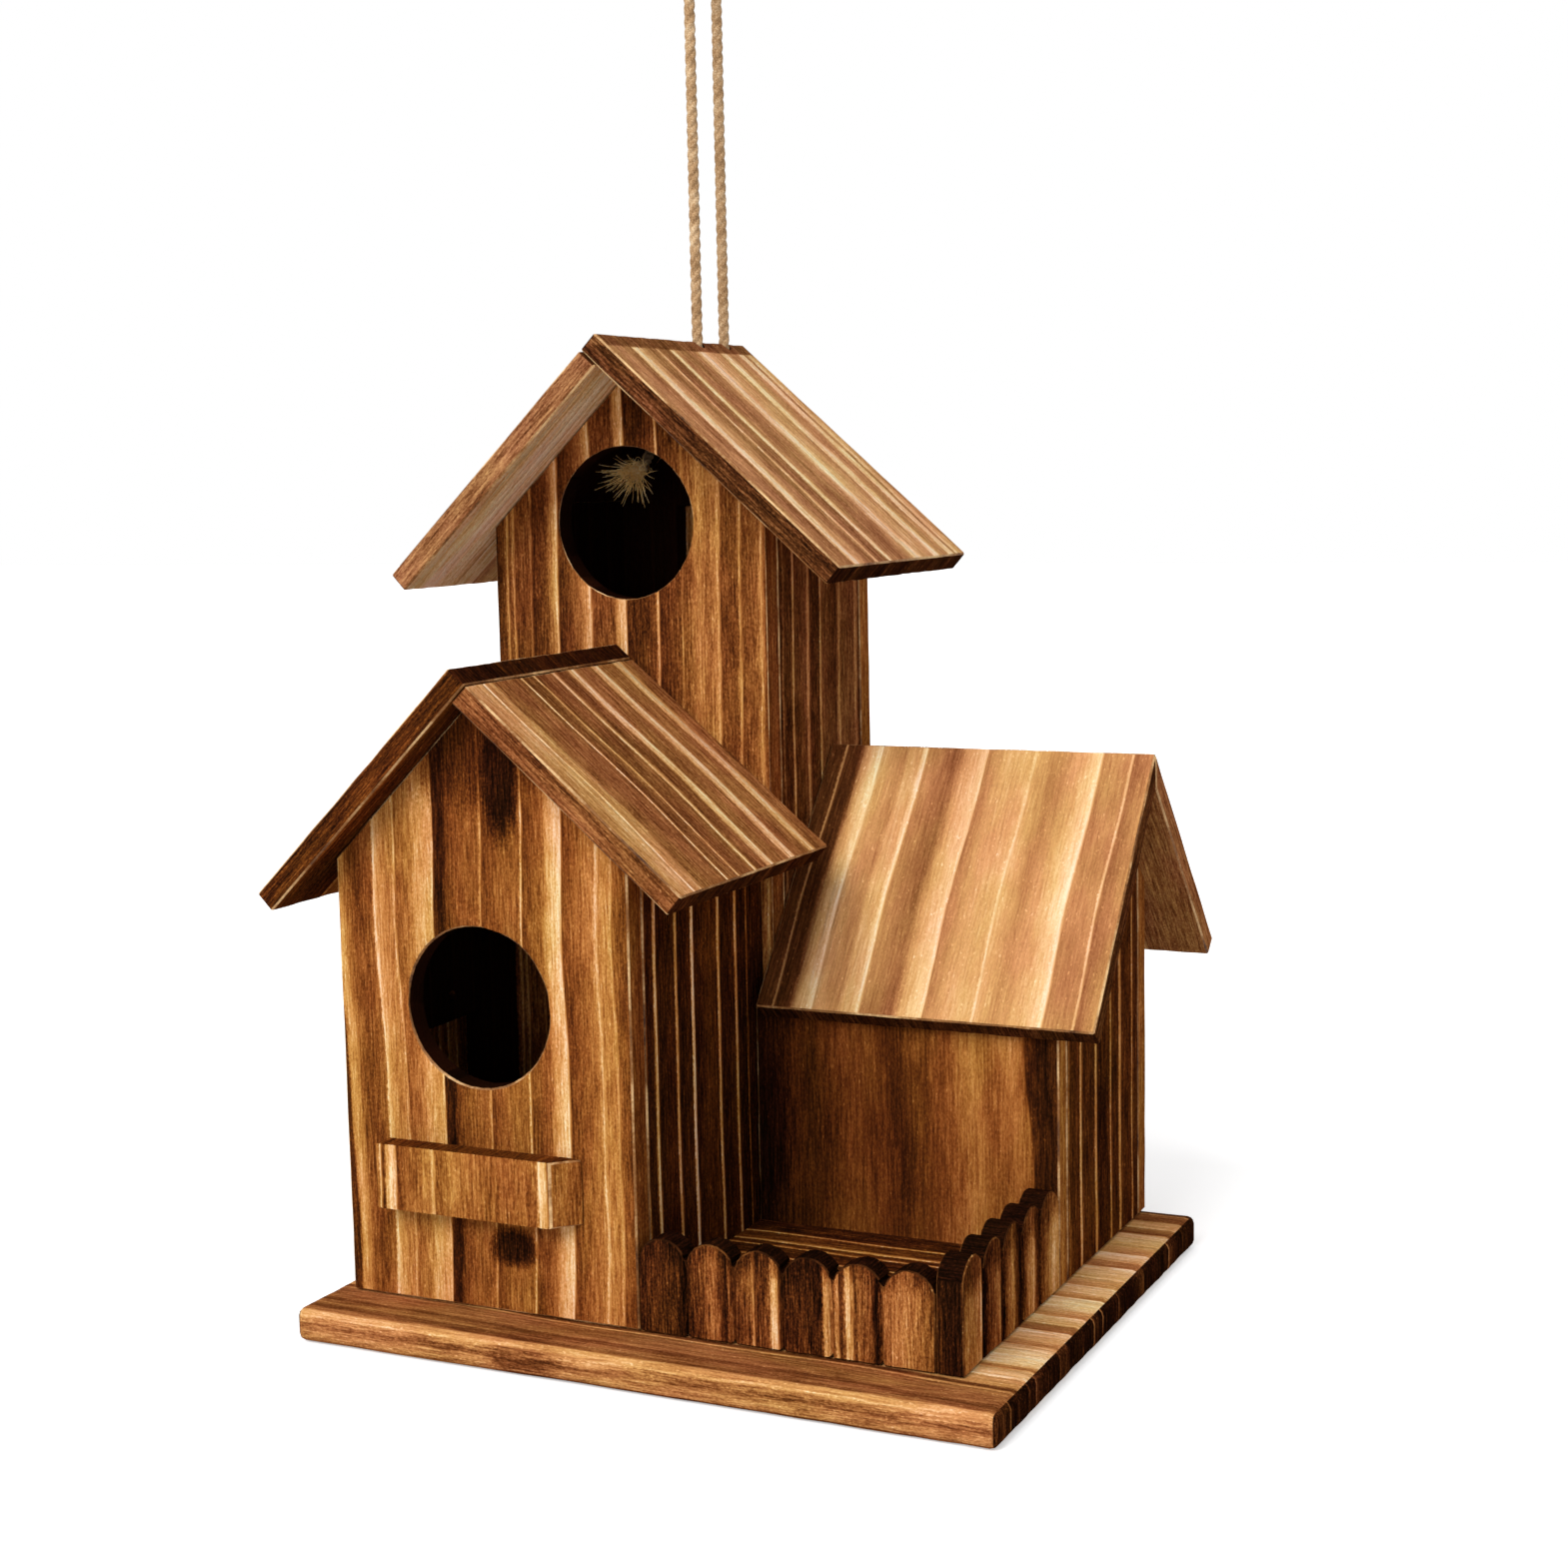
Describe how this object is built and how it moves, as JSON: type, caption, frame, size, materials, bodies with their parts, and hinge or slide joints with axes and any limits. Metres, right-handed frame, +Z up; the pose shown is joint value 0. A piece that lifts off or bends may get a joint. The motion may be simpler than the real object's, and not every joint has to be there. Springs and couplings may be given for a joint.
{
  "type": "squirrel feeder house",
  "caption": "Hanging wooden squirrel feeder: a tower, a front house and a side house with pitched roofs, round entrances, a fenced porch, clean-out doors and a rope loop.",
  "frame": {"origin": "the point on the base board's underside below the middle of the house's box, the rope left out", "axes": "+Z up, +X towards the side house, -Y the front with the entrances and the porch"},
  "size_m": [0.2658, 0.2471, 0.4721],
  "materials": {
    "base_board": "brushed and burnt, satin",
    "wall_boards": "brushed and burnt with stripes, satin",
    "roof_boards": "brushed and burnt with stripes, satin",
    "fence_boards": "brushed and burnt, satin",
    "smooth_board": "smooth, stained red brown",
    "door_boards": "brushed and burnt, satin",
    "jute_rope": "twisted jute",
    "screw_steel": "zinc plated"
  },
  "bodies": {
    "house": {"base_board": "base_board", "front_house_front_wall": "wall_boards", "front_house_left_wall": "wall_boards", "front_house_right_wall": "wall_boards", "front_house_roof_left": "roof_boards", "front_house_roof_right": "roof_boards", "perch_block": "fence_boards", "tower_front_wall": "wall_boards", "tower_left_wall": "wall_boards", "tower_right_wall": "wall_boards", "tower_back_wall": "wall_boards", "tower_floor": "wall_boards", "tower_roof_left": "roof_boards", "tower_roof_right": "roof_boards", "side_house_front_wall": "smooth_board", "side_house_gable_wall": "wall_boards", "side_house_back_wall": "wall_boards", "side_house_roof_front": "roof_boards", "side_house_roof_back": "roof_boards", "porch_floor": "base_board", "front_fence": "fence_boards", "side_fence": "fence_boards", "tower_door_screw": "screw_steel", "front_house_door_screw": "screw_steel", "base_screw_1": "screw_steel", "base_screw_2": "screw_steel", "base_screw_3": "screw_steel", "base_screw_4": "screw_steel", "base_screw_5": "screw_steel", "base_screw_6": "screw_steel", "base_screw_7": "screw_steel", "base_screw_8": "screw_steel", "rope_loop": "jute_rope", "rope_knot": "jute_rope"},
    "tower_door": {"tower_cleanout_door": "door_boards"},
    "front_house_door": {"front_house_cleanout_door": "door_boards"}
  },
  "joints": [
    {"name": "tower_door_swivel", "type": "hinge", "parent": "house", "child": "tower_door", "pos_m": [-0.04912, 0.08746, 0.283], "axis": [0, 1, 0], "range_deg": [-100, 100]},
    {"name": "front_house_door_swivel", "type": "hinge", "parent": "house", "child": "front_house_door", "pos_m": [-0.10962, -0.04654, 0.104], "axis": [1, 0, 0], "range_deg": [-100, 100]}
  ]
}
